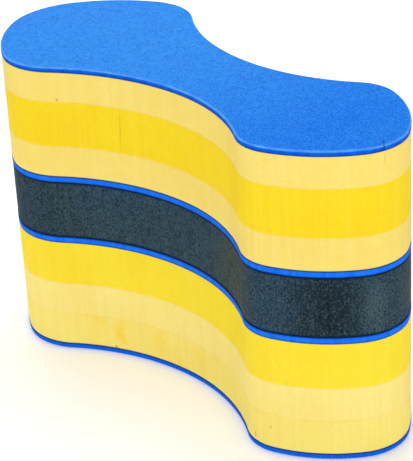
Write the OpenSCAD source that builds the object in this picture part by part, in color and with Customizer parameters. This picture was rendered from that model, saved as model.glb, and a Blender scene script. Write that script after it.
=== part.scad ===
// Foam pull buoy: foam sheets glued face to face and cut to one hourglass
// outline, with one end larger than the other. X runs along the float with the
// small end at +X, Z is up through the stack, and the origin is the centre of
// the bottom face's box.

/* [Outline] */
// Length from tip to tip
length = 230; // [215:1:245]
// Width across the waist, where the thighs sit
waist_w = 42; // [36:1:48]
// How far the waist lies from the middle, towards the small end
waist_x = 12; // [6:0.5:16]

/* [Large end] */
// Radius of the tip
large_tip_r = 35; // [30:1:42]
// Angle from the long axis where the tip hands over to a flatter face
large_tip_angle = 31; // [26:1:36]
// Radius of the flatter face between the tip and the shoulder
large_face_r = 71; // [62:1:80]
// Angle from the long axis where that face hands over to the shoulder
large_face_angle = 64; // [60:1:70]
// Radius of the shoulder
large_shoulder_r = 27.5; // [24:0.5:31]

/* [Small end] */
// Radius of the tip
small_tip_r = 24; // [21:1:28]
// Angle from the long axis where the tip hands over to a flatter face
small_tip_angle = 34; // [30:1:40]
// Radius of the flatter face between the tip and the shoulder
small_face_r = 65; // [58:1:72]
// Angle from the long axis where that face hands over to the shoulder
small_face_angle = 69; // [64:1:74]
// Radius of the shoulder
small_shoulder_r = 20; // [16:0.5:24]

/* [Sheets] */
// Thickness of the blue sheet on top
top_skin_t = 2.6; // [2:0.1:5]
// Thickness of the pale yellow sheet under the top skin
upper_cream_t = 13.5; // [10:0.1:20]
// Thickness of the bright yellow sheet in the upper half
upper_yellow_t = 21.2; // [15:0.1:30]
// Thickness of the pale yellow sheet over the upper blue stripe
middle_cream_t = 14.3; // [10:0.1:20]
// Thickness of each thin blue sheet beside the slate core
stripe_t = 3.2; // [2:0.1:5]
// Thickness of the slate core
core_t = 26.9; // [20:0.1:36]
// Thickness of the bright yellow sheet in the lower half
lower_yellow_t = 20.7; // [15:0.1:30]
// Thickness of each of the two lowest pale yellow sheets
lower_cream_t = 15.6; // [10:0.1:22]
// Thickness of the blue sheet underneath
bottom_skin_t = 2.9; // [2:0.1:5]

/* [Glue] */
// Thickness of the adhesive film in each joint
film_t = 0.2; // [0.1:0.05:0.4]
// How far each film stops short of the cut side
film_inset = 0.5; // [0.3:0.1:1]

/* [Hidden] */
$fn = 240;

// Thickness of every sheet from the bottom up
SHEETS = [
    bottom_skin_t, lower_cream_t, lower_cream_t, lower_yellow_t, stripe_t, core_t,
    stripe_t, middle_cream_t, upper_yellow_t, upper_cream_t, top_skin_t
];
FILMS = len(SHEETS) - 1;

// Sheets from the top down, then the glue films from the bottom joint up

function film_name(i) = str("glue_film_", i);

// Height of a sheet's lower face, counting sheets from 0 at the bottom
function sheet_z(i) = i == 0 ? 0 : sheet_z(i - 1) + SHEETS[i - 1] + film_t;

// Working points are kept to a thousandth of a millimetre, so that neighbouring
// slices of the outline share their edges exactly
function fine(v) = round(v * 1000) / 1000;

// A point at a distance and an angle from another point
function polar(from, r, angle) =
    [fine(from.x + r * cos(angle)), fine(from.y + r * sin(angle))];

// An end of the outline, drawn towards +X from its tip: three arcs, each as its
// centre, its radius and the angle where it ends. The shoulder ends at the waist.
function end_arcs(tip_r, tip_angle, face_r, face_angle, shoulder_r) =
    let (tip = [length / 2 - tip_r, 0],
         face = polar(tip, tip_r - face_r, tip_angle))
    [[tip, tip_r, tip_angle],
     [face, face_r, face_angle],
     [polar(face, face_r - shoulder_r, face_angle), shoulder_r]];

LARGE_END = end_arcs(large_tip_r, large_tip_angle, large_face_r, large_face_angle, large_shoulder_r);
SMALL_END = end_arcs(small_tip_r, small_tip_angle, small_face_r, small_face_angle, small_shoulder_r);

// Centre of the hollow that is level at the waist, at the place x along the end,
// and runs smoothly into the shoulder of radius r around c
function hollow_centre(c, r, x) =
    [x, fine(waist_w / 2 + (pow(c.x - x, 2) + pow(c.y - waist_w / 2, 2) - pow(r, 2))
                           / (2 * (c.y + r - waist_w / 2)))];

// Length of the seams at each side of a face's slice, which is past every edge
SEAM = 120;

// Curves that run into each other are drawn this far past touching, so that they
// always cross
HAIR = 0.002;

// The disc of an arc, drawn in by the inset
module disc(arc, inset) {
    translate(arc[0]) circle(arc[1] - inset);
}

// One end: discs for the tip and the shoulder, and between them a slice of the
// flatter face's disc
module rounded_end(arcs, inset) {
    tip = arcs[0];
    face = arcs[1];
    shoulder = arcs[2];
    disc(tip, inset);
    disc(shoulder, inset);
    intersection() {
        disc(face, inset + HAIR);
        polygon([tip[0], polar(face[0], SEAM, tip[2]), polar(face[0], SEAM, face[2]), shoulder[0]]);
    }
}

// The web between the waist, at the place x along the end, and the end's own discs
module web(arcs, x, inset) {
    shoulder = arcs[2];
    hollow = hollow_centre(shoulder[0], shoulder[1], x);
    difference() {
        polygon([[x, 0], arcs[0][0], shoulder[0], hollow]);
        translate(hollow) circle(hollow.y - waist_w / 2 + inset + HAIR);
    }
}

// The hourglass outline, drawn in from the cut side by the inset
module outline(inset = 0) {
    for (side = [0, 1]) mirror([0, side]) {
        rounded_end(SMALL_END, inset);
        web(SMALL_END, waist_x, inset);
        mirror([1, 0]) {
            rounded_end(LARGE_END, inset);
            web(LARGE_END, -waist_x, inset);
        }
    }
}

// One foam sheet, counted from 0 at the bottom
module sheet(i) {
    translate([0, 0, sheet_z(i)]) linear_extrude(SHEETS[i]) outline();
}

module bottom_skin() { color("#1753b8") sheet(0); }
module base_cream_sheet() { color("#f2dc85") sheet(1); }
module lower_cream_sheet() { color("#f6e38c") sheet(2); }
module lower_yellow_sheet() { color("#fbd92c") sheet(3); }
module lower_blue_stripe() { color("#2a6fdc") sheet(4); }
module slate_core() { color("#33454f") sheet(5); }
module upper_blue_stripe() { color("#2a6fdc") sheet(6); }
module middle_cream_sheet() { color("#f3df86") sheet(7); }
module upper_yellow_sheet() { color("#fbd92c") sheet(8); }
module upper_cream_sheet() { color("#f3df86") sheet(9); }
module top_skin() { color("#3a86ec") sheet(10); }

// The adhesive film under a sheet, kept back from the cut side
module glue_film(i) {
    color("#c9b878")
        translate([0, 0, sheet_z(i) - film_t]) linear_extrude(film_t) outline(film_inset);
}

top_skin();
upper_cream_sheet();
upper_yellow_sheet();
middle_cream_sheet();
upper_blue_stripe();
slate_core();
lower_blue_stripe();
lower_yellow_sheet();
lower_cream_sheet();
base_cream_sheet();
bottom_skin();
for (i = [1:FILMS])
    glue_film(i);
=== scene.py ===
"""The looks of the laminated foam float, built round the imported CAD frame.

Every foam sheet and glue film is a mesh made here. All of them follow one hourglass
outline, which is the cut side of the whole stack. Distances are in metres. A place on
the cut side is given by how far along it lies from the small end's tip, on the side
towards the camera, and by its height.
"""

import math
from collections import namedtuple

import bpy
import numpy as np
from mathutils import Matrix, Vector


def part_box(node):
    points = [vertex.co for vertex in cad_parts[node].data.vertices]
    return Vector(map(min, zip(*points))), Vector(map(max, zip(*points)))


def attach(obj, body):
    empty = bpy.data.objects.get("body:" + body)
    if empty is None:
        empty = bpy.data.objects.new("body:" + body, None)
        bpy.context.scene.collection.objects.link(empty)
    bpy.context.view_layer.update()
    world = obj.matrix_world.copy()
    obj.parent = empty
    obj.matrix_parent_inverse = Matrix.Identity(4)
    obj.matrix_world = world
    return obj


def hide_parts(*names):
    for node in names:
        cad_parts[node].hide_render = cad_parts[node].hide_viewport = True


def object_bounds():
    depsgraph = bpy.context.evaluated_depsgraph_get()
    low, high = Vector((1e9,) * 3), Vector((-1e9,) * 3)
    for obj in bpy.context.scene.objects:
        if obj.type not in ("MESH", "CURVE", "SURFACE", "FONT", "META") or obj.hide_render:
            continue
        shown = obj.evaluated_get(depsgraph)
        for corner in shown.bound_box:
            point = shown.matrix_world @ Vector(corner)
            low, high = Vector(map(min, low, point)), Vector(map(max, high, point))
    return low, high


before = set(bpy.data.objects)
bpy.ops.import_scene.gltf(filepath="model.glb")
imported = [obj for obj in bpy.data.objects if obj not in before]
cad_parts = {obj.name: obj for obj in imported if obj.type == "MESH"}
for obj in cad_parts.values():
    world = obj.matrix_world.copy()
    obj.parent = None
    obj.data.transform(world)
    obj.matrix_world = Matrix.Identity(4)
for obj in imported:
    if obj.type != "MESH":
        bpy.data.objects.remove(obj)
cad_low, cad_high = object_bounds()

# The outline's driving sizes. Each end has a tip arc, a flatter face arc and a shoulder
# arc, and an angle is where one arc passes into the next, measured from the long axis.
LENGTH = cad_high.x - cad_low.x
End = namedtuple("End", "tip_r tip_angle face_r face_angle shoulder_r")
LARGE_END = End(0.035, math.radians(31), 0.071, math.radians(64), 0.0275)
SMALL_END = End(0.024, math.radians(34), 0.065, math.radians(69), 0.020)
WAIST_W = 0.042
WAIST_X = 0.012

# How finely the cut side and the two outer faces are meshed
SIDE_STEP = 0.0011
MARK_STEP = 0.00012
WALL_STEP = 0.0014
SHADE_STEP = 0.00022
FACE_STRIPS = 54
HIDDEN_STRIPS = 4

# The cut side lies inside the CAD outline by up to the first two, times its sheet's own
# scale, and the top inside the CAD face by up to the third
CUT_WAVE = 0.00022
CUT_GRAIN = 0.00005
FACE_WAVE = 0.00012

# How far in from the outline the top's unevenness reaches its full size
FACE_WAVE_STARTS = 0.006

# The cutter's waver: whole waves round the outline and the size of each, how far they
# lean for each metre of height, and the seed that their phases are drawn from
WAVES_ROUND = (2, 3, 5, 9, 14, 23, 37, 61, 88, 131, 170, 205)
WAVE_SIZES = (1.0, 0.9, 0.7, 0.5, 0.45, 0.35, 0.3, 0.28, 0.22, 0.2, 0.16, 0.12)
WAVE_LEAN = 0.035
WAVE_SEED = 7

# Marks on the cut side. Each runs from one place along the side to another as it rises
# from its lowest point to its highest, and has a width, a depth and a darkness.
Mark = namedtuple("Mark", "low_along high_along low high width depth dark")
KNIFE_LINE = Mark(0.1625, 0.1610, 0.0990, 0.1240, 0.00034, 0.00015, 0.62)
EDGE_NICK = Mark(0.0050, 0.0050, 0.1386, 0.1435, 0.00055, 0.00030, 0.7)
NICK_TAIL = Mark(0.0046, 0.0049, 0.1325, 0.1390, 0.00040, 0.00006, 0.3)
FOOT_DASH = Mark(0.0640, 0.0640, 0.0036, 0.0074, 0.00060, 0.00025, 0.8)
MARKS = (KNIFE_LINE, EDGE_NICK, NICK_TAIL, FOOT_DASH)


# ---------------------------------------------------------------- the outline


def direction(angle):
    """The way that an angle from +X points, as a plan vector of length 1."""
    return np.array([math.cos(angle), math.sin(angle)])


def waist_arc(centre, radius, x):
    """Centre and radius of the arc that is level at the waist and meets another arc smoothly."""
    drop = centre[1] + radius - WAIST_W / 2
    across = (centre[0] - x) ** 2 + (centre[1] - WAIST_W / 2) ** 2 - radius**2
    waist_r = across / (2 * drop)
    return np.array([x, WAIST_W / 2 + waist_r]), waist_r


def end_arcs(end, x):
    """An end's arcs from its tip to the waist, as if it lay towards +X.

    Each is a centre, a radius, and the angles where it starts and ends.
    """
    tip_c = np.array([LENGTH / 2 - end.tip_r, 0.0])
    face_c = tip_c + (end.tip_r - end.face_r) * direction(end.tip_angle)
    shoulder_c = face_c + (end.face_r - end.shoulder_r) * direction(end.face_angle)
    waist_c, waist_r = waist_arc(shoulder_c, end.shoulder_r, x)
    towards = waist_c - shoulder_c
    meet = math.atan2(towards[1], towards[0])
    return [
        (tip_c, end.tip_r, 0.0, end.tip_angle),
        (face_c, end.face_r, end.tip_angle, end.face_angle),
        (shoulder_c, end.shoulder_r, end.face_angle, meet),
        (waist_c, -waist_r, meet - math.pi, -math.pi / 2),
    ]


def half_outline(extra):
    """Points, outward normals and distances of the outline's +Y half, from the small tip to the large one.

    extra holds distances that get a point of their own.
    """
    small = end_arcs(SMALL_END, WAIST_X)
    large = end_arcs(LARGE_END, -WAIST_X)
    pieces = [(arc, 1) for arc in small] + [(arc, -1) for arc in reversed(large)]
    lengths = [abs(arc[1] * (arc[3] - arc[2])) for arc, _ in pieces]
    ends = np.cumsum([0.0] + lengths)
    fine = np.unique(np.asarray(extra, float))
    fine = fine[np.diff(fine, prepend=-1) > MARK_STEP / 2]
    even = np.linspace(0, ends[-1], round(ends[-1] / SIDE_STEP) + 1)
    clear = [abs(fine - t).min() > 2 * MARK_STEP or t in (0.0, ends[-1]) for t in even]
    along = np.union1d(even[clear], fine)
    points, normals = [], []
    for t in along:
        k = min(int(np.searchsorted(ends, t, side="right")) - 1, len(pieces) - 1)
        (centre, radius, start, end), flip = pieces[k]
        share = (t - ends[k]) / lengths[k]
        out = direction(start + (end - start) * (share if flip > 0 else 1 - share))
        points.append((centre + abs(radius) * out) * [flip, 1])
        normals.append(math.copysign(1, radius) * out * [flip, 1])
    return np.array(points), np.array(normals), along


class Side:
    """The whole cut side: one column for each point of the closed outline.

    The half towards the camera comes first, from the small tip to the large one, and
    the other half leads back. twin pairs each point with the one across the long axis.
    """

    def __init__(self):
        extra = []
        for mark in MARKS:
            first = min(mark.low_along, mark.high_along) - 2 * mark.width
            last = max(mark.low_along, mark.high_along) + 2 * mark.width
            extra += list(np.arange(first, last, MARK_STEP))
        points, normals, along = half_outline(extra)
        mirror = np.array([1, -1])
        back = slice(-2, 0, -1)
        self.half = len(points)
        self.points = np.vstack([points * mirror, points[back]])
        self.normals = np.vstack([normals * mirror, normals[back]])
        self.length = 2 * along[-1]
        self.along = np.concatenate([along, self.length - along[back]])
        self.count = len(self.points)
        sizes = np.array(WAVE_SIZES) / sum(WAVE_SIZES)
        phases = np.random.default_rng(WAVE_SEED).uniform(0, 2 * np.pi, len(sizes))
        self.waves = list(zip(WAVES_ROUND, sizes, phases))

    def wave(self, z):
        """The cutter's own waver, from 0 to 1, nearly the same at every height."""
        where = 2 * np.pi * (self.along + WAVE_LEAN * z) / self.length
        return 0.5 + 0.5 * sum(size * np.sin(n * where + phase) for n, size, phase in self.waves)

    def mark(self, z):
        """How deep the marks go at this height, and how dark they are, from 0 to 1."""
        depth, dark = np.zeros(self.count), np.zeros(self.count)
        for mark in MARKS:
            share = (z - mark.low) / (mark.high - mark.low)
            if 0 <= share <= 1:
                along = mark.low_along + (mark.high_along - mark.low_along) * share
                near = np.exp(-(((self.along - along) / (mark.width / 2)) ** 2))
                fade = min(1.0, 4 * min(share, 1 - share))
                depth += mark.depth * near * fade
                dark = np.maximum(dark, mark.dark * near * fade)
        return depth, dark

    def point(self, along, z):
        """The place on the cut side at a distance along it and a height."""
        x, y = (float(np.interp(along, self.along, self.points[:, k])) for k in (0, 1))
        return Vector((x, y, z))


SIDE = Side()


# ---------------------------------------------------------------- sheets

# One ring of a sheet's side: how far it lies inside the outline, its height, how far its
# surface leans up (1) or down (-1), its closeness to a glued joint, which sets its painted shade, and its
# painted highlight along a bare rim
Row = namedtuple("Row", "inset z lift joint rim")


def edge_profile(low, high, bottom, top, pull):
    """Rows of a sheet's side from its lower face to its upper one.

    The edges are rounded, and foam is pulled in a little beside the glue.
    """
    rows = []
    for turn in range(bottom.steps + 1):
        a = math.pi / 2 * turn / bottom.steps
        rows.append((bottom.radius * (1 - math.sin(a)), low + bottom.radius * (1 - math.cos(a)), a))
    start, end = low + bottom.radius, high - top.radius
    near = [start + SHADE_STEP * k for k in (1, 2, 3)] + [end - SHADE_STEP * k for k in (3, 2, 1)]
    steps = max(2, round((end - start) / WALL_STEP))
    wall = [start + (end - start) * k / steps for k in range(1, steps)]
    wall = [z for z in wall if start + 4 * SHADE_STEP < z < end - 4 * SHADE_STEP]
    rows += [(0.0, z, math.pi / 2) for z in sorted(near + wall)]
    for turn in reversed(range(top.steps + 1)):
        a = math.pi / 2 * turn / top.steps
        rows.append((top.radius * (1 - math.sin(a)), high - top.radius * (1 - math.cos(a)), a))
    middle, reach = (low + high) / 2, (high - low) / 2
    result = []
    for inset, z, a in rows:
        edge = bottom if z < middle else top
        distance = min(z - low, high - z)
        # Painted shade fades out from a darkening joint; a bare rounding gets a painted highlight,
        # strongest midway round it
        joint = math.exp(-((distance / JOINT_SHADE) ** 2)) if edge.darkens else 0.0
        rim = 0.0 if edge.darkens else abs(math.sin(2 * a)) ** 0.5
        lift = math.cos(a) * (-1 if z < middle else 1)
        result.append(Row(inset + pull * abs((z - middle) / reach) ** 6, z, lift, joint, rim))
    return result


def face_wave(x, y):
    """A slow unevenness of a moulded face, from 0 to 1."""
    return 0.5 + 0.25 * (np.sin(95 * x + 40 * y + 1.1) + np.sin(150 * y - 60 * x + 0.4))


def grain(points, z, seed):
    """A fine unevenness of the cut foam, from 0 to 1, fixed by place."""
    a = np.sin(points[:, 0] * 2310 + z * 1900 + seed) * np.sin(points[:, 1] * 2570 - z * 1430 + 2 * seed)
    b = np.sin(points[:, 0] * 4210 - z * 3300 + 3 * seed) * np.sin(points[:, 1] * 3890 + z * 4100 + seed)
    return 0.5 + 0.25 * (a + b)


def cap_rows(ring, strips, height, wave, up):
    """Points between the two halves of a ring, one row for each station along the float."""
    lower, upper = ring[1 : SIDE.half - 1], ring[: SIDE.half - 1 : -1]
    shares = np.linspace(0, 1, strips + 1)[1:-1]
    inner = lower[:, None] * (1 - shares)[None, :, None] + upper[:, None] * shares[None, :, None]
    x, y = inner[..., 0], inner[..., 1]
    edge = np.minimum(shares, 1 - shares)[None, :] * np.abs(upper[:, 1] - lower[:, 1])[:, None]
    rise = face_wave(x, y) * np.clip(edge / FACE_WAVE_STARTS, 0, 1) * wave
    z = np.full(x.shape, height) - (rise if up else -rise)
    return np.stack([x, y, z], axis=-1)


def cap_faces(ring_start, inner_start, strips, up):
    """Faces of a cap: quads across the float, closed at the tips by fans."""
    n, half, across = SIDE.count, SIDE.half, strips - 1
    stations = half - 2

    def row(i):
        inner = [inner_start + (i - 1) * across + k for k in range(across)]
        return [ring_start + i] + inner + [ring_start + n - i]

    faces = []
    for i in range(1, stations):
        a, b = row(i), row(i + 1)
        faces += [(a[k], a[k + 1], b[k + 1], b[k]) for k in range(strips)]
    first, last = row(1), row(stations)
    tip, tail = ring_start, ring_start + half - 1
    faces += [(tip, first[k + 1], first[k]) for k in range(strips)]
    faces += [(tail, last[k], last[k + 1]) for k in range(strips)]
    return faces if up else [tuple(reversed(f)) for f in faces]


def ring_normals(ring, lift):
    """Outward normals of one row of the cut side, whose surface leans up by lift."""
    around = np.vstack([ring[-2:], ring, ring[:2]])
    steps = np.hypot(*np.diff(around, axis=0).T)
    run = np.gradient(around, np.concatenate([[0.0], np.cumsum(steps)]), axis=0)[2:-2]
    run /= np.hypot(run[:, 0], run[:, 1])[:, None]
    level = math.sqrt(1 - lift * lift)
    return np.column_stack([-level * run[:, 1], level * run[:, 0], np.full(len(ring), lift)])


def add_shade(mesh, name, values):
    """Stores one number for each point, which the materials read."""
    shade = mesh.attributes.new(name, "FLOAT", "POINT")
    spread = np.zeros(len(mesh.vertices), np.float32)
    spread[: len(values)] = values
    shade.data.foreach_set("value", spread)


def sheet_mesh(name, rows, cut, seed, bottom=(HIDDEN_STRIPS, 0.0), top=(HIDDEN_STRIPS, 0.0)):
    """A closed mesh with the given side rows. cut scales the cut side's unevenness.

    bottom and top give each face's strips and how uneven it is.
    """
    n = SIDE.count
    layers, normals, darks = [], [], []
    for row in rows:
        depth, dark = SIDE.mark(row.z)
        lie = cut * (CUT_WAVE * SIDE.wave(row.z) + CUT_GRAIN * grain(SIDE.points, row.z, seed))
        ring = SIDE.points - SIDE.normals * (row.inset + lie + depth)[:, None]
        layers.append(np.column_stack([ring, np.full(n, row.z)]))
        normals.append(ring_normals(ring, row.lift))
        darks.append(dark)
    low_cap = cap_rows(layers[0][:, :2], bottom[0], rows[0].z, bottom[1], False)
    high_cap = cap_rows(layers[-1][:, :2], top[0], rows[-1].z, top[1], True)
    low_start = n * len(rows)
    high_start = low_start + low_cap.shape[0] * low_cap.shape[1]
    verts = np.vstack([*layers, low_cap.reshape(-1, 3), high_cap.reshape(-1, 3)])
    faces = []
    for r in range(len(rows) - 1):
        a, b = r * n, (r + 1) * n
        faces += [(a + i, b + i, b + (i + 1) % n, a + (i + 1) % n) for i in range(n)]
    faces += cap_faces(0, low_start, bottom[0], False)
    faces += cap_faces(n * (len(rows) - 1), high_start, top[0], True)
    mesh = bpy.data.meshes.new(name)
    mesh.from_pydata(verts.tolist(), [], faces)
    mesh.validate()
    add_shade(mesh, "mark", np.concatenate(darks))
    add_shade(mesh, "joint", np.repeat([row.joint for row in rows], n))
    add_shade(mesh, "rim", np.repeat([row.rim for row in rows], n))
    mesh.polygons.foreach_set("use_smooth", [True] * len(mesh.polygons))
    mesh.update()
    for cap, up in ((low_cap, -1.0), (high_cap, 1.0)):
        normals.append(np.tile([0.0, 0.0, up], (cap.shape[0] * cap.shape[1], 1)))
    mesh.normals_split_custom_set_from_vertices(np.vstack(normals).tolist())
    return mesh


def add_piece(node, kind, mesh, material):
    """Links a piece of this kind that stands for a CAD node and rides on its body."""
    piece = bpy.data.objects.new(f"{node}_{kind}", mesh)
    bpy.context.scene.collection.objects.link(piece)
    mesh.materials.append(material)
    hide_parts(node)
    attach(piece, "root")
    return piece


# ---------------------------------------------------------------- materials


def linear(hex_colour):
    """A colour as the shader takes it, from the way it is written on a screen."""
    parts = [int(hex_colour[i : i + 2], 16) / 255 for i in (1, 3, 5)]
    return [c / 12.92 if c <= 0.04045 else ((c + 0.055) / 1.055) ** 2.4 for c in parts] + [1.0]


class Shader:
    """A material that is built up a layer at a time over the object's own coordinates."""

    def __init__(self, name):
        self.material = bpy.data.materials.new(name)
        self.material.use_nodes = True
        self.tree = self.material.node_tree
        self.tree.nodes.clear()
        self.place = self.add("ShaderNodeTexCoord").outputs["Object"]
        self.bsdf = self.add("ShaderNodeBsdfPrincipled")
        output = self.add("ShaderNodeOutputMaterial")
        self.link(self.bsdf.outputs["BSDF"], output.inputs["Surface"])

    def add(self, kind, **settings):
        node = self.tree.nodes.new(kind)
        for key, value in settings.items():
            setattr(node, key, value)
        return node

    def link(self, source, target):
        self.tree.links.new(source, target)

    def scaled(self, scale):
        """The object's coordinates, stretched by a scale for each axis."""
        mapping = self.add("ShaderNodeMapping")
        mapping.inputs["Scale"].default_value = scale
        self.link(self.place, mapping.inputs["Vector"])
        return mapping.outputs["Vector"]

    def noise(self, scale, detail=2.0, rough=0.5, stretch=None):
        """A noise from about 0 to 1, with scale features to the metre."""
        node = self.add("ShaderNodeTexNoise")
        node.inputs["Scale"].default_value = scale
        node.inputs["Detail"].default_value = detail
        node.inputs["Roughness"].default_value = rough
        self.link(self.scaled(stretch) if stretch else self.place, node.inputs["Vector"])
        return node.outputs["Fac"]

    def cells(self, scale):
        """Distance from the middle of the nearest cell, with scale cells to the metre."""
        node = self.add("ShaderNodeTexVoronoi")
        node.inputs["Scale"].default_value = scale
        self.link(self.place, node.inputs["Vector"])
        return node.outputs["Distance"]

    def between(self, value, low, high, to_low=0.0, to_high=1.0):
        """Maps a value from one range to another and clamps it there."""
        node = self.add("ShaderNodeMapRange")
        for name, number in zip(("From Min", "From Max", "To Min", "To Max"), (low, high, to_low, to_high)):
            node.inputs[name].default_value = number
        self.link(value, node.inputs["Value"])
        return node.outputs["Result"]

    def maths(self, operation, a, b):
        node = self.add("ShaderNodeMath", operation=operation)
        for socket, value in zip(node.inputs, (a, b)):
            if isinstance(value, (int, float)):
                socket.default_value = value
            else:
                self.link(value, socket)
        return node.outputs["Value"]

    def blend(self, under, over, share):
        """One colour laid over another. Each is a socket or a colour."""
        node = self.add("ShaderNodeMix", data_type="RGBA")
        colour_a, colour_b = node.inputs[6], node.inputs[7]
        for socket, value in ((colour_a, under), (colour_b, over)):
            if isinstance(value, str):
                socket.default_value = linear(value)
            else:
                self.link(value, socket)
        self.link(share, node.inputs[0])
        return node.outputs[2]

    def stain(self, under, over, where, strength):
        """A colour laid over another where a number is high. The strength is a number too."""
        return self.blend(under, over, self.maths("MULTIPLY", where, strength))

    def part(self, vector, axis):
        """One axis of a vector."""
        parts = self.add("ShaderNodeSeparateXYZ")
        self.link(vector, parts.inputs["Vector"])
        return parts.outputs[axis]

    def level(self):
        """1 where the surface lies level, and 0 on the cut side."""
        normal = self.add("ShaderNodeNewGeometry").outputs["Normal"]
        return self.between(self.maths("ABSOLUTE", self.part(normal, "Z"), 0.0), 0.55, 0.85)

    def shade(self, name):
        """A number that the mesh holds for each point: its marks, the painted shade beside joints, or the
        painted highlight along rims.
        """
        node = self.add("ShaderNodeAttribute", attribute_type="GEOMETRY", attribute_name=name)
        return node.outputs["Fac"]

    def near(self, place, sizes, turn=0.0):
        """1 at a place and 0 past a spot of these half sizes, turned about the upright axis."""
        mapping = self.add("ShaderNodeMapping", vector_type="TEXTURE")
        mapping.inputs["Location"].default_value = place
        mapping.inputs["Rotation"].default_value = (0, 0, turn)
        mapping.inputs["Scale"].default_value = sizes
        self.link(self.place, mapping.inputs["Vector"])
        length = self.add("ShaderNodeVectorMath", operation="LENGTH")
        self.link(mapping.outputs["Vector"], length.inputs[0])
        return self.between(length.outputs["Value"], 1.0, 0.2)

    def bump(self, *layers):
        """Relief from pairs of height and depth in metres, the deepest first."""
        normal = None
        for height, depth in layers:
            node = self.add("ShaderNodeBump")
            node.inputs["Strength"].default_value = 1.0
            node.inputs["Distance"].default_value = depth
            self.link(height, node.inputs["Height"])
            if normal:
                self.link(normal, node.inputs["Normal"])
            normal = node.outputs["Normal"]
        self.link(normal, self.bsdf.inputs["Normal"])

    def spread(self, scale, detail, low, high):
        """A patchy number between two values, for a roughness."""
        return self.between(self.noise(scale, detail), 0.3, 0.7, low, high)

    def finish(self, colour, roughness, specular):
        """Joins the colour and roughness to the surface, and returns the material."""
        self.link(colour, self.bsdf.inputs["Base Color"])
        self.link(roughness, self.bsdf.inputs["Roughness"])
        self.bsdf.inputs["Specular IOR Level"].default_value = specular
        return self.material


# The stretch that turns a noise into upright streaks, as the cutter leaves them
CUT_STREAKS = (1.0, 1.0, 0.03)

# A small stain on the cut side, and how much taller than wide a scuff is
Spot = namedtuple("Spot", "along z reach strength")
SCUFF_HEIGHT = 1.7

SCUFF_GOLD = "#f4cb2c"
SPECK_BROWN = "#7d5a20"
DUST_BROWN = "#7a5a24"
CUT_BROWN = "#6b4c1c"


def cut_foam(name, base, deep, pale, scuffs=(), specks=()):
    """The cut face of light foam: fine closed cells, faint upright streaks and slow shade changes."""
    s = Shader(name)
    cells = s.cells(1900)
    streaks = s.noise(420, 3, 0.6, CUT_STREAKS)
    colour = s.blend(base, deep, s.between(s.noise(34, 3, 0.55), 0.42, 0.75, 0, 0.5))
    colour = s.blend(colour, pale, s.between(streaks, 0.45, 0.8, 0, 0.45))
    colour = s.blend(colour, deep, s.between(s.noise(1500, 2, 0.7), 0.45, 0.75, 0, 0.4))
    colour = s.blend(colour, deep, s.between(cells, 0.55, 0.9, 0, 0.4))
    for scuff in scuffs:
        sizes = (scuff.reach, scuff.reach, SCUFF_HEIGHT * scuff.reach)
        patch = s.near(SIDE.point(scuff.along, scuff.z), sizes)
        patch = s.maths("MULTIPLY", patch, s.between(s.noise(190, 3, 0.6), 0.35, 0.62, 0.15, 1))
        colour = s.stain(colour, SCUFF_GOLD, patch, scuff.strength)
    for speck in specks:
        spot = s.near(SIDE.point(speck.along, speck.z), [speck.reach] * 3)
        colour = s.stain(colour, SPECK_BROWN, spot, speck.strength)
    dust = s.between(s.cells(58), 0.0, 0.02, 1, 0)
    dusty = s.between(s.noise(19), 0.56, 0.62, 0, 0.5)
    colour = s.stain(colour, DUST_BROWN, dust, dusty)
    broken = s.between(s.noise(520, 2, 0.6, (1, 1, 0.5)), 0.36, 0.58, 0.15, 1)
    colour = s.stain(colour, CUT_BROWN, s.shade("mark"), broken)
    s.bump((streaks, 0.00022), (s.noise(700, 3, 0.6), 0.00008), (cells, 0.00006))
    return s.finish(colour, s.spread(240, 3, 0.68, 0.84), 0.12)


# The colours of one blue foam: its face, the face's pale and deep grain, its cut side and
# the side's deep streaks, the painted highlight along its rims, and the painted sheen on the face's large
# end
Blues = namedtuple("Blues", "face pale deep side side_deep rim faded")

# Where along X the face's painted sheen is full, and where the face has its own colour again
SHEEN_FROM, SHEEN_TO = -0.02, 0.085

# The nick in the top rim goes on into the face this way, which is measured from +X
NICK_WAY = math.radians(139.6)
NICK_REACH = 0.003
NICK_SIZES = (0.0042, 0.0005, 0.001)

NICK_BLUE = "#0c4aa8"
# The dark blue of the painted shade at joints
JOINT_SHADE_BLUE = "#041c52"
MARK_BLUE = "#06204f"


def blue_face(s, blues, fine):
    """The grained face of blue foam, lighter at the large end as painted sheen and deeper towards the small
    one.
    """
    colour = s.blend(blues.faded, blues.face, s.between(s.part(s.place, "X"), SHEEN_FROM, SHEEN_TO))
    colour = s.blend(colour, blues.pale, s.between(s.noise(24, 3, 0.5), 0.35, 0.7, 0, 0.3))
    colour = s.blend(colour, blues.deep, s.between(s.noise(560, 3, 0.65), 0.46, 0.68, 0, 0.4))
    colour = s.blend(colour, blues.deep, s.between(fine, 0.5, 0.66, 0, 0.75))
    colour = s.blend(colour, blues.pale, s.between(fine, 0.47, 0.33, 0, 0.8))
    pits = s.between(s.cells(150), 0.0, 0.06, 1, 0)
    return s.stain(colour, blues.side_deep, pits, s.between(s.noise(45), 0.5, 0.6, 0, 0.5))


def blue_side(s, blues):
    """The streaked cut side of blue foam."""
    streaks = s.noise(420, 3, 0.6, CUT_STREAKS)
    colour = s.blend(blues.side, blues.side_deep, s.between(streaks, 0.4, 0.7, 0, 0.6))
    return s.blend(colour, blues.face, s.between(s.noise(1400, 2, 0.7), 0.55, 0.8, 0, 0.25))


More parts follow.
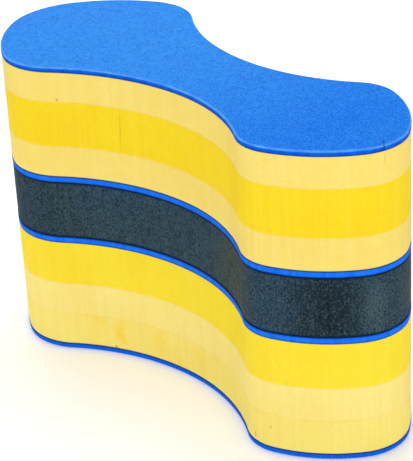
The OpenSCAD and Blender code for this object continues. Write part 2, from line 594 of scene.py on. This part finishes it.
def blue_foam(name, blues):
    """Dense blue foam, with a painted highlight along its rims, the nick in the top, painted shade beside
    its joints, and its marks.
    """
    s = Shader(name)
    fine = s.noise(1400, 2, 0.65)
    colour = s.blend(blue_side(s, blues), blue_face(s, blues, fine), s.level())
    # Painted highlight along the rounded rims, where a lamp's light would catch them
    colour = s.stain(colour, blues.rim, s.shade("rim"), s.between(s.noise(210, 2), 0.3, 0.6, 0.5, 1.0))
    way = Vector((*direction(NICK_WAY), 0))
    nick = SIDE.point(EDGE_NICK.low_along, cad_high.z) + NICK_REACH * way
    colour = s.stain(colour, NICK_BLUE, s.near(nick, NICK_SIZES, NICK_WAY), 0.8)
    # Painted shade in the crevice at each joint of dense foam
    colour = s.stain(colour, JOINT_SHADE_BLUE, s.shade("joint"), 0.9)
    colour = s.stain(colour, MARK_BLUE, s.shade("mark"), 0.9)
    s.bump((s.noise(130, 3, 0.6), 0.00020), (fine, 0.00010), (s.cells(1700), 0.00004))
    return s.finish(colour, s.spread(300, 3, 0.52, 0.68), 0.012)


# Patches of colour along the slate's cut side. The pale one near the small tip is painted
# reflection, the dark ones across the small end's front and near the large end are painted
# shade, and the olive one on the flank is a tint of the foam, lighter too as painted reflection
Drift = namedtuple("Drift", "along z reach colour strength")
SLATE_TINTS_AND_PAINTED_LIGHT = (
    Drift(0.0105, 0.0710, 0.0085, "#5f7478", 0.38),
    Drift(0.0280, 0.0710, 0.0220, "#0a151b", 0.90),
    Drift(0.0850, 0.0720, 0.0260, "#4c4c34", 0.55),
    Drift(0.2120, 0.0690, 0.0300, "#1a2a34", 0.50),
)


def slate_foam():
    """Dark slate foam: fine pale and dark cells, faint streaks and drifts of blue and olive, with painted
    reflection and painted shade in patches along its side.
    """
    s = Shader("slate foam")
    fine = s.noise(1500, 3, 0.7, (1, 1, 0.7))
    coarse = s.noise(430, 2, 0.6, (1, 1, 0.6))
    streaks = s.noise(480, 4, 0.7, CUT_STREAKS)
    colour = s.blend("#2c4350", "#284258", s.between(s.noise(22, 2, 0.5), 0.42, 0.62, 0, 0.8))
    colour = s.blend(colour, "#36443f", s.between(s.noise(31, 2, 0.5, (1, 1, 0.4)), 0.52, 0.72, 0, 0.5))
    # Painted reflection, painted shade and an olive tint in patches along the side
    for drift in SLATE_TINTS_AND_PAINTED_LIGHT:
        zone = s.near(SIDE.point(drift.along, drift.z), (drift.reach, drift.reach, 2 * drift.reach))
        colour = s.stain(colour, drift.colour, zone, drift.strength)
    colour = s.blend(colour, "#16262e", s.between(streaks, 0.5, 0.68, 0, 0.35))
    colour = s.blend(colour, "#435860", s.between(streaks, 0.5, 0.34, 0, 0.2))
    colour = s.blend(colour, "#3d5461", s.between(coarse, 0.5, 0.7, 0, 0.3))
    colour = s.blend(colour, "#526976", s.between(fine, 0.52, 0.66, 0, 0.48))
    colour = s.blend(colour, "#0c171e", s.between(fine, 0.5, 0.37, 0, 0.9))
    # Painted shade in the crevice at each joint of the slate
    colour = s.stain(colour, "#0b1a26", s.shade("joint"), 0.85)
    s.bump((streaks, 0.00020), (fine, 0.00010), (s.cells(1500), 0.00005))
    return s.finish(colour, s.spread(200, 3, 0.66, 0.8), 0.08)


def glue(name, colour, deep, pale):
    """Dried adhesive in a joint, with deeper and paler patches."""
    s = Shader(name)
    mixed = s.blend(colour, deep, s.between(s.noise(600, 3, 0.6), 0.35, 0.65))
    mixed = s.blend(mixed, pale, s.between(s.noise(1500, 2, 0.6), 0.55, 0.75, 0, 0.6))
    s.bump((s.noise(900, 2, 0.6), 0.00008))
    return s.finish(mixed, s.spread(350, 2, 0.4, 0.6), 0.3)


CREAM = cut_foam(
    "cream foam",
    "#f2d971",
    "#e9c95f",
    "#f5e390",
    specks=[Spot(0.1910, 0.1264, 0.0009, 0.55)],
)
YELLOW = cut_foam("yellow foam", "#f3d420", "#ebc513", "#f8df3c")
LOWER_YELLOW = cut_foam("lower yellow foam", "#f4db34", "#eccb25", "#f8e550")
LOWER_CREAM = cut_foam("lower cream foam", "#f4e081", "#ecd16d", "#f8eca0")
BASE_CREAM = cut_foam(
    "base cream foam",
    "#f3e076",
    "#ebd065",
    "#f7ea98",
    scuffs=[
        Spot(0.1805, 0.0130, 0.0080, 0.45),
        Spot(0.1690, 0.0115, 0.0055, 0.90),
        Spot(0.1480, 0.0111, 0.0075, 0.55),
        Spot(0.1375, 0.0045, 0.0050, 0.50),
        Spot(0.1225, 0.0100, 0.0080, 0.45),
    ],
    specks=[Spot(0.1722, 0.0036, 0.0009, 0.8), Spot(0.0550, 0.0126, 0.0008, 0.4)],
)
# The skin's last colour paints a sheen on the large end of its face; each foam's rim colour is a painted
# highlight
SKIN_BLUES = Blues("#2280f6", "#36a2ff", "#0e5ed8", "#0c60e4", "#063fb0", "#5cabfc", "#409cfd")
STRIPE_BLUES = Blues("#0880f0", "#1a96fc", "#0465dc", "#1f76fa", "#0c54d4", "#58a8fc", "#0880f0")
DARK_BLUES = Blues("#1560d0", "#2a74e2", "#0c50be", "#1164e2", "#0b4cc0", "#2e72e0", "#1560d0")
SKIN_BLUE = blue_foam("skin blue foam", SKIN_BLUES)
STRIPE_BLUE = blue_foam("stripe blue foam", STRIPE_BLUES)
DARK_BLUE = blue_foam("dark blue foam", DARK_BLUES)
SLATE = slate_foam()
PALE_GLUE = glue("pale glue", "#f4d95e", "#eccf50", "#f7e07c")
# The sunk film's dark navy is painted shade in the crevice between two dense sheets; the adhesive itself
# matches the pale glue
SHADOWED_GLUE = glue("dark glue", "#1b2f55", "#0c1a36", "#33466a")


# ---------------------------------------------------------------- the stack

# How an edge of a sheet is rounded: its radius, the facets that make it, and whether it
# gets painted shade towards a joint; an edge without that gets a painted rim highlight value instead
Edge = namedtuple("Edge", "radius steps darkens")
SOFT_EDGE = Edge(0.00003, 2, False)
FIRM_EDGE = Edge(0.00030, 3, True)
SKIN_RIM = Edge(0.00085, 5, False)

# How far from the joint the painted shade has faded to about a third
JOINT_SHADE = 0.00058

# Each sheet from the bottom up: CAD node, material, record slot, lower and upper edge,
# how far the foam is pulled in beside the glue, and how uneven its cut is
Sheet = namedtuple("Sheet", "node material slot bottom top pull cut")
SHEETS = [
    Sheet("bottom_skin", DARK_BLUE, "foam_dark_blue", SKIN_RIM, FIRM_EDGE, 0.00002, 0.5),
    Sheet("base_cream_sheet", BASE_CREAM, "foam_cream", SOFT_EDGE, SOFT_EDGE, 0.00004, 1.0),
    Sheet("lower_cream_sheet", LOWER_CREAM, "foam_cream", SOFT_EDGE, SOFT_EDGE, 0.00004, 1.0),
    Sheet("lower_yellow_sheet", LOWER_YELLOW, "foam_yellow", SOFT_EDGE, SOFT_EDGE, 0.00004, 1.0),
    Sheet("lower_blue_stripe", STRIPE_BLUE, "foam_blue", FIRM_EDGE, FIRM_EDGE, 0.00002, 0.5),
    Sheet("slate_core", SLATE, "foam_slate", FIRM_EDGE, FIRM_EDGE, 0.00010, 1.2),
    Sheet("upper_blue_stripe", STRIPE_BLUE, "foam_blue", FIRM_EDGE, FIRM_EDGE, 0.00002, 0.5),
    Sheet("middle_cream_sheet", CREAM, "foam_cream", SOFT_EDGE, SOFT_EDGE, 0.00004, 1.0),
    Sheet("upper_yellow_sheet", YELLOW, "foam_yellow", SOFT_EDGE, SOFT_EDGE, 0.00004, 1.0),
    Sheet("upper_cream_sheet", CREAM, "foam_cream", SOFT_EDGE, SOFT_EDGE, 0.00004, 1.0),
    Sheet("top_skin", SKIN_BLUE, "foam_blue", FIRM_EDGE, SKIN_RIM, 0.00002, 0.5),
]

# A film's edge lies this far inside the outline: nearly flush beside a light sheet, and
# sunk between two dense ones, where its dark colour is painted shade. Its corners lie further in than its
# middle by FILM_EDGE.
FLUSH_FILM, SUNK_FILM = 0.00004, 0.00050
FILM_EDGE = 0.00004


def build_sheets():
    for seed, sheet in enumerate(SHEETS):
        low, high = (corner.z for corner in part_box(sheet.node))
        bottom = (FACE_STRIPS, 0.0) if sheet.bottom is SKIN_RIM else (HIDDEN_STRIPS, 0.0)
        top = (FACE_STRIPS, FACE_WAVE) if sheet.top is SKIN_RIM else (HIDDEN_STRIPS, 0.0)
        rows = edge_profile(low, high, sheet.bottom, sheet.top, sheet.pull)
        mesh = sheet_mesh(sheet.node, rows, sheet.cut, seed, bottom, top)
        piece = add_piece(sheet.node, "foam", mesh, sheet.material)


def build_films():
    for number in range(1, len(SHEETS)):
        node = f"glue_film_{number}"
        sunk = SHEETS[number - 1].top.darkens and SHEETS[number].bottom.darkens
        inset = SUNK_FILM if sunk else FLUSH_FILM
        low, high = (corner.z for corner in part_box(node))
        heights = (low, (low + high) / 2, high)
        rows = [Row(inset + FILM_EDGE * (z != heights[1]), z, 0.0, 0.0, 0.0) for z in heights]
        mesh = sheet_mesh(node, rows, 1.0, number)
        add_piece(node, "glue", mesh, SHADOWED_GLUE if sunk else PALE_GLUE)


# ---------------------------------------------------------------- the stage

# The floor's flat radius, the bend and height of the wall round it, and their facets
FLOOR_REACH, COVE_R, COVE_TOP = 3.2, 0.8, 2.5
COVE_RINGS = 8
COVE_SIDES = 64

# How far the floor lies below the float's foot, and the faint light of its own
FLOOR_DROP = 0.0002
FLOOR_GLOW = 0.24


def build_floor():
    """A round white floor that curves up into a wall all the way round."""
    s = Shader("studio floor")
    colour = s.blend("#fdfdfd", "#f9f9f9", s.between(s.noise(3, 2), 0.3, 0.7))
    s.finish(colour, s.spread(8, 2, 0.8, 0.9), 0.1)
    s.bsdf.inputs["Emission Color"].default_value = (1, 1, 1, 1)
    s.bsdf.inputs["Emission Strength"].default_value = FLOOR_GLOW
    bends = [math.pi / 2 * k / COVE_RINGS for k in range(COVE_RINGS + 1)]
    profile = [(FLOOR_REACH + COVE_R * math.sin(a), COVE_R * (1 - math.cos(a))) for a in bends]
    profile.append((FLOOR_REACH + COVE_R, COVE_TOP))
    turns = [2 * math.pi * k / COVE_SIDES for k in range(COVE_SIDES)]
    verts = [(r * math.cos(t), r * math.sin(t), z) for r, z in profile for t in turns]
    faces = [tuple(range(COVE_SIDES))]
    for ring in range(len(profile) - 1):
        a, b = ring * COVE_SIDES, (ring + 1) * COVE_SIDES
        for k in range(COVE_SIDES):
            after = (k + 1) % COVE_SIDES
            faces.append((a + k, b + k, b + after, a + after))
    mesh = bpy.data.meshes.new("floor")
    mesh.from_pydata(verts, [], faces)
    mesh.polygons.foreach_set("use_smooth", [True] * len(mesh.polygons))
    mesh.materials.append(s.material)
    floor = bpy.data.objects.new("floor", mesh)
    floor.location.z = cad_low.z - FLOOR_DROP
    bpy.context.scene.collection.objects.link(floor)


# The camera's angles in degrees, its lens in mm, and where it looks and from how far
AZIMUTH, ELEVATION, ROLL = 49.63, 26.55, -3.13
LENS = 142.4
AIM_X, AIM_Y = 0.0106, -0.0090
CAMERA_DISTANCE = 0.8038


def camera_axes(azimuth, elevation, roll):
    """Right, up and back of a camera at these angles."""
    level = math.cos(elevation)
    back = Vector((math.sin(azimuth) * level, -math.cos(azimuth) * level, math.sin(elevation)))
    right = Vector((math.cos(azimuth), math.sin(azimuth), 0))
    up = back.cross(right)
    turned_right = right * math.cos(roll) + up * math.sin(roll)
    turned_up = up * math.cos(roll) - right * math.sin(roll)
    return turned_right, turned_up, back


def build_camera():
    right, up, back = camera_axes(*(math.radians(angle) for angle in (AZIMUTH, ELEVATION, ROLL)))
    aim = Vector((AIM_X, AIM_Y, (cad_low.z + cad_high.z) / 2))
    data = bpy.data.cameras.new("camera")
    data.lens = LENS
    data.clip_start, data.clip_end = 0.05, 20
    camera = bpy.data.objects.new("camera", data)
    axes = Matrix((right, up, back)).transposed()
    camera.matrix_world = Matrix.Translation(aim + back * CAMERA_DISTANCE) @ axes.to_4x4()
    bpy.context.scene.collection.objects.link(camera)
    bpy.context.scene.camera = camera


# Each softbox: its place, its width and height, and its power in watts
SoftLight = namedtuple("SoftLight", "name place size power")
SOFT_LIGHTS = (
    SoftLight("key", (1.3, -0.8, 0.4), (1.2, 0.9), 6.8),
    SoftLight("fill", (-1.3, -0.95, 0.5), (1.4, 0.9), 3.5),
    SoftLight("back", (-0.9, 0.75, 1.0), (0.9, 0.9), 3.0),
    SoftLight("top", (-0.4, 0.3, 1.8), (0.9, 0.9), 10.0),
)

# Where they all point, and the strength of the white light from all round
LIGHT_AIM = Vector((0, 0, 0.07))
STUDIO_GLOW = 0.38


def build_lights():
    for soft in SOFT_LIGHTS:
        data = bpy.data.lights.new(soft.name, "AREA")
        data.shape = "RECTANGLE"
        data.size, data.size_y = soft.size
        data.energy = soft.power
        light = bpy.data.objects.new(soft.name, data)
        light.location = soft.place
        light.rotation_mode = "QUATERNION"
        light.rotation_quaternion = (LIGHT_AIM - light.location).to_track_quat("-Z", "Y")
        bpy.context.scene.collection.objects.link(light)
    world = bpy.data.worlds.new("studio")
    world.use_nodes = True
    background = world.node_tree.nodes["Background"]
    background.inputs["Color"].default_value = (1, 1, 1, 1)
    background.inputs["Strength"].default_value = STUDIO_GLOW
    bpy.context.scene.world = world
    bpy.context.scene.view_settings.view_transform = "Standard"


build_sheets()
build_films()
build_floor()
build_camera()
build_lights()
